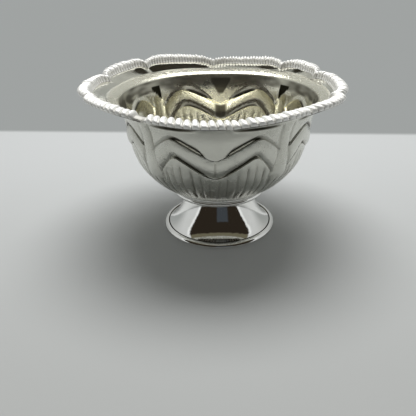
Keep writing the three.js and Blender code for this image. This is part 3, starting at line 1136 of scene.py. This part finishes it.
def border_tree():
    """Gadroons along a line: each point of the line carries the way to the border's inner edge."""
    sizes = ("Bead Height", "Strip Height", "Wrap", "Crown at", "Crowding", "Slant", "Unevenness")
    sockets = [("Beads", "NodeSocketInt"), ("Columns per Bead", "NodeSocketInt")]
    sockets += [(size, "NodeSocketFloat") for size in sizes]
    sockets += [("Seed", "NodeSocketInt"), ("Material", "NodeSocketMaterial")]
    tree = new_tree("gadrooned_border", sockets)
    given = add(tree, "NodeGroupInput").outputs
    line = add(tree, "GeometryNodeMeshToCurve")
    feed(tree, line, "Mesh", given["Geometry"])
    columns = math_node(tree, "MULTIPLY_ADD", given["Beads"], given["Columns per Bead"], 1.0)
    grid = add(tree, "GeometryNodeMeshGrid")
    feed(tree, grid, "Size X", 1.0)
    feed(tree, grid, "Size Y", 1.0)
    feed(tree, grid, "Vertices X", columns)
    feed(tree, grid, "Vertices Y", BORDER_ROWS + BORDER_UNDER + 1)
    spot = add(tree, "ShaderNodeSeparateXYZ")
    feed(tree, spot, 0, add(tree, "GeometryNodeInputPosition").outputs[0])
    along = math_node(tree, "ADD", spot.outputs[0], 0.5)
    around = math_node(tree, "ADD", spot.outputs[1], 0.5)

    # Rows of the grid run inwards over the top and back outwards underneath
    top_part = BORDER_ROWS / (BORDER_ROWS + BORDER_UNDER)
    over = map_range(tree, around, 0.0, top_part, smooth=False)
    under = map_range(tree, around, top_part, 1.0, smooth=False)
    inward = math_node(tree, "SUBTRACT", over, under)

    def along_line(label, kind):
        sample = add(tree, "GeometryNodeSampleCurve", data_type=kind)
        feed(tree, sample, "Curves", line.outputs[0])
        feed(tree, sample, "Factor", along)
        value = add(tree, "GeometryNodeInputNamedAttribute", data_type=kind)
        feed(tree, value, "Name", label)
        feed(tree, sample, "Value", value.outputs[0])
        return sample.outputs["Value"], sample.outputs["Position"]

    reach, place = along_line("inward", "FLOAT_VECTOR")
    plain, _ = along_line("plain", "FLOAT")

    # Lobe of each bead, with the beads crowded towards the back, slanted and a little uneven
    sine_along = math_node(tree, "SINE", product(tree, along, 2 * math.pi))
    crowd = product(tree, given["Crowding"], -0.5 / math.pi)
    phase = product(tree, math_node(tree, "MULTIPLY_ADD", sine_along, crowd, along), given["Beads"])
    phase = math_node(tree, "MULTIPLY_ADD", inward, given["Slant"], phase)
    number = math_node(tree, "FLOORED_MODULO", math_node(tree, "FLOOR", phase), given["Beads"])
    chance = add(tree, "FunctionNodeRandomValue", data_type="FLOAT")
    feed(tree, chance, "Min", -1.0)
    feed(tree, chance, "Max", 1.0)
    feed(tree, chance, "ID", number)
    feed(tree, chance, "Seed", given["Seed"])
    uneven = math_node(tree, "MULTIPLY_ADD", chance.outputs[1], given["Unevenness"], 1.0)
    across = math_node(tree, "MULTIPLY_ADD", math_node(tree, "FRACT", phase), 2.0, -1.0)
    wide = map_range(tree, inward, *BEAD_NARROWS, 1.0, BEAD_NARROWEST)
    share = math_node(tree, "ABSOLUTE", math_node(tree, "DIVIDE", across, wide))
    share = math_node(tree, "MINIMUM", share, 1.0)
    round_top = math_node(tree, "SUBTRACT", 1.0, math_node(tree, "POWER", share, BEAD_ROUNDNESS))
    outer_end = math_node(tree, "SQRT", map_range(tree, inward, 0.0, BEAD_OUTER_END, smooth=False))
    lobe = product(tree, product(tree, round_top, outer_end), below(tree, inward, BEAD_INNER_END))
    lobe = product(tree, lobe, math_node(tree, "SUBTRACT", 1.0, plain))
    lobe = product(tree, lobe, uneven)

    # Section without gadroons: a quarter round over the flange's edge up to the crown, then a fall inwards
    outer_part = map_range(tree, inward, 0.0, given["Crown at"], smooth=False)
    inner_part = map_range(tree, inward, given["Crown at"], 1.0, smooth=False)
    turn = product(tree, outer_part, math.pi / 2)
    sine = math_node(tree, "SINE", turn)
    cosine = math_node(tree, "COSINE", turn)
    rest = math_node(tree, "SUBTRACT", 1.0, given["Crown at"])
    reached = product(tree, given["Crown at"], math_node(tree, "SUBTRACT", 1.0, cosine))
    reached = math_node(tree, "MULTIPLY_ADD", inner_part, rest, reached)
    whole = math_node(tree, "ADD", given["Wrap"], given["Strip Height"])
    climb = math_node(tree, "SUBTRACT", product(tree, whole, sine), given["Wrap"])
    drop = product(tree, math_node(tree, "POWER", inner_part, INNER_CURVE), given["Strip Height"])
    climb = math_node(tree, "SUBTRACT", climb, product(tree, drop, INNER_FALL))
    wrapped = product(tree, math_node(tree, "SUBTRACT", outer_part, 1.0), given["Wrap"])
    on_top = math_node(tree, "LESS_THAN", around, top_part + TOP_MARGIN)
    under_part = math_node(tree, "SUBTRACT", 1.0, on_top)
    rise = product(tree, wrapped, under_part)
    rise = math_node(tree, "MULTIPLY_ADD", climb, on_top, rise)
    swell = math_node(tree, "SUBTRACT", given["Bead Height"], given["Strip Height"])
    swell = product(tree, product(tree, swell, lobe), on_top)
    lift = add(tree, "ShaderNodeCombineXYZ")
    feed(tree, lift, 2, math_node(tree, "MULTIPLY_ADD", swell, sine, rise))
    bulge = product(tree, swell, BEAD_BULGE)
    outward = vector_node(tree, "SCALE", vector_node(tree, "NORMALIZE", reach), bulge)
    moved = vector_node(tree, "ADD", place, vector_node(tree, "SCALE", reach, reached))
    moved = vector_node(tree, "ADD", moved, vector_node(tree, "SCALE", outward, cosine))
    moved = vector_node(tree, "ADD", moved, lift.outputs[0])
    # Recess darkness: old polish and painted shade in the grooves between the beads, and a darkening of the
    # plain stretch
    grooves = add(tree, "GeometryNodeStoreNamedAttribute", data_type="FLOAT", domain="POINT")
    feed(tree, grooves, "Geometry", grid.outputs["Mesh"])
    feed(tree, grooves, "Name", "recess")
    between = map_range(tree, round_top, 0.0, GROOVE_SHARE, 1.0, 0.0)
    beaded = math_node(tree, "SUBTRACT", 1.0, plain)
    shade = math_node(tree, "MULTIPLY_ADD", between, beaded, product(tree, plain, PLAIN_SHADE))
    feed(tree, grooves, "Value", shade)
    shaped = add(tree, "GeometryNodeSetPosition")
    feed(tree, shaped, "Geometry", grooves.outputs[0])
    feed(tree, shaped, "Position", moved)
    joined = add(tree, "GeometryNodeMergeByDistance")
    feed(tree, joined, "Geometry", shaped.outputs[0])
    feed(tree, joined, "Distance", MERGE_DISTANCE)
    finish_tree(tree, given, joined.outputs[0])
    return tree


def border_line():
    """The border's outer edge on the flange, with the way to its inner edge and the plain gap."""
    places, ways, plains = [], [], []
    for i in range(COLUMNS):
        angle = i * 360 / COLUMNS
        outer = edge_radius(angle) + BORDER_OVERHANG
        inner = crest_radius(angle) - BORDER_WIDTH - BORDER_SWING * math.cos(math.radians(angle))
        inner -= BORDER_TIP * scallop(angle) ** TIP_SHARPNESS
        first, last = (on_band(radius, angle) for radius in (outer, inner))
        places.append(first)
        ways.append(last - first)
        gap = abs((angle - PLAIN_NOTCH + 180) % 360 - 180)
        plains.append(1 - smooth(gap, PLAIN_TURN - PLAIN_SOFT, PLAIN_TURN))
    mesh = closed_line("border_line", places)
    flat = [number for way in ways for number in way]
    mesh.attributes.new("inward", "FLOAT_VECTOR", "POINT").data.foreach_set("vector", flat)
    mesh.attributes.new("plain", "FLOAT", "POINT").data.foreach_set("value", plains)
    return mesh


def on_band(radius, angle):
    """A place on the top face of the flange."""
    share = (radius - BAND_START) / (edge_radius(angle) - BAND_START)
    return round_point(angle, radius, band_height(radius) + sway(angle, radius) - hand_shape(angle, share))


def make_border():
    finish, _, _ = silver(
        "cast_silver", 0.1 * MM, Bright=CAST_SILVER, Tarnish=CAST_TARNISH_AND_SHADE, Recess="recess",
        Film=0.03, Gloss=0.58, Haze=0.10, Scale=400.0, Dents=0.4,
    )
    return run_tree(
        border_line(), border_tree(), "rim_gadroons",
        Beads=BEADS,
        Columns_per_Bead=BEAD_COLUMNS,
        Bead_Height=BEAD_HEIGHT,
        Strip_Height=STRIP_HEIGHT,
        Wrap=BORDER_WRAP,
        Crown_at=CROWN_AT,
        Crowding=BEAD_CROWDING,
        Slant=BEAD_SLANT,
        Unevenness=BEAD_UNEVEN,
        Seed=BORDER_SEED,
        Material=finish,
    )


def foot_line():
    """Concave trumpet line of the foot, from brim to neck."""
    ends = (
        (BRIM_RADIUS, BASE_HEIGHT),
        (FOOT_NECK_RADIUS + FOOT_FLARE_REACH, BASE_HEIGHT + FOOT_FLARE_RISE),
        (FOOT_NECK_RADIUS + FOOT_NECK_LEAN, FOOT_TOP - FOOT_NECK_LENGTH),
        (FOOT_NECK_RADIUS, FOOT_TOP),
    )
    points = []
    for i in range(FOOT_STEPS + 1):
        t = i / FOOT_STEPS
        weights = ((1 - t) ** 3, 3 * t * (1 - t) ** 2, 3 * t * t * (1 - t), t ** 3)
        points.append(tuple(sum(w * p[k] for w, p in zip(weights, ends)) for k in (0, 1)))
    return points


def foot_profile():
    outside = foot_line()
    inside = [(radius - FOOT_SHEET, height) for radius, height in reversed(outside)]
    inside[0] = (inside[0][0], FOOT_TOP - FOOT_SHEET)
    lip = FOOT_NECK_RADIUS - FOOT_LIP
    return outside + [(lip, FOOT_TOP), (lip, FOOT_TOP - FOOT_SHEET)] + inside


def collar_profile():
    bore = FOOT_NECK_RADIUS - FOOT_LIP + COLLAR_INSET
    height = (SEAT_HEIGHT - FOOT_TOP) / COLLAR_ROUNDS
    profile = [(bore, FOOT_TOP)]
    for i in range(COLLAR_ROUNDS):
        radius = COLLAR_RADIUS - (COLLAR_ROUNDS - 1 - i) * COLLAR_STEP
        centre = (radius - height / 2, FOOT_TOP + (i + 0.5) * height)
        profile += arc(centre, height / 2, -90, 90, ARC_STEPS)
    return profile + [(bore, SEAT_HEIGHT)]


def base_profile():
    inner = BASE_RADIUS - BASE_WIDTH
    toe = arc((BASE_RADIUS - BASE_TOE, BASE_TOE), BASE_TOE, -90, 0, TOE_STEPS)
    brow = arc((BASE_RADIUS - BASE_ROUND, BASE_HEIGHT - BASE_ROUND), BASE_ROUND, 0, 90, ARC_STEPS)
    groove = [
        (BRIM_RADIUS + GROOVE_REACH, BASE_HEIGHT),
        (BRIM_RADIUS + GROOVE_AT, BASE_HEIGHT - GROOVE_DEPTH),
        (BRIM_RADIUS, BASE_HEIGHT),
    ]
    return [(inner, 0)] + toe + brow + groove + [(inner, BASE_HEIGHT)]


def ring_material():
    """Polished silver with a dark line of painted shade in the groove beside the foot's brim."""
    material, tree, silver_node = silver(
        "turned_silver", 0.1 * MM, Bright=TURNED_SILVER, Tarnish=RING_TARNISH_AND_SHADE,
        Film=0.08, Gloss=0.05, Haze=0.05, Scale=300.0, Dents=0.2,
    )
    place = add(tree, "ShaderNodeTexCoord").outputs["Object"]
    flat = vector_node(tree, "MULTIPLY", vector_node(tree, "SUBTRACT", place, AXIS), (1.0, 1.0, 0.0))
    length = add(tree, "ShaderNodeVectorMath", operation="LENGTH")
    feed(tree, length, 0, flat)
    radius = length.outputs["Value"]
    # Painted shade: a dark line in the groove
    start = map_range(tree, radius, BRIM_RADIUS + LINE_START, BRIM_RADIUS)
    end = map_range(tree, radius, BRIM_RADIUS + LINE_END[0], BRIM_RADIUS + LINE_END[1], LINE_SHADE, 0.0)
    feed(tree, silver_node, "Recess", product(tree, start, end))
    return material


def dress(piece, node):
    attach(piece, "root")
    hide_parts(node)


TURNED = turned_tree()
polished, _, _ = silver(
    "polished_silver", 0.1 * MM, Bright=TURNED_SILVER, Tarnish=FOOT_TARNISH,
    Film=0.08, Gloss=0.03, Haze=0.05, Scale=300.0, Dents=0.2,
)

make_camera()
make_world()
make_lamp()
make_floor()
dress(make_bowl(), "bowl_shell")
dress(make_border(), "rim_border")
dress(turned("collar_rounds", collar_profile(), polished), "collar")
dress(turned("trumpet_foot", foot_profile(), polished), "foot_cone")
dress(turned("foot_ring", base_profile(), ring_material()), "base_ring")
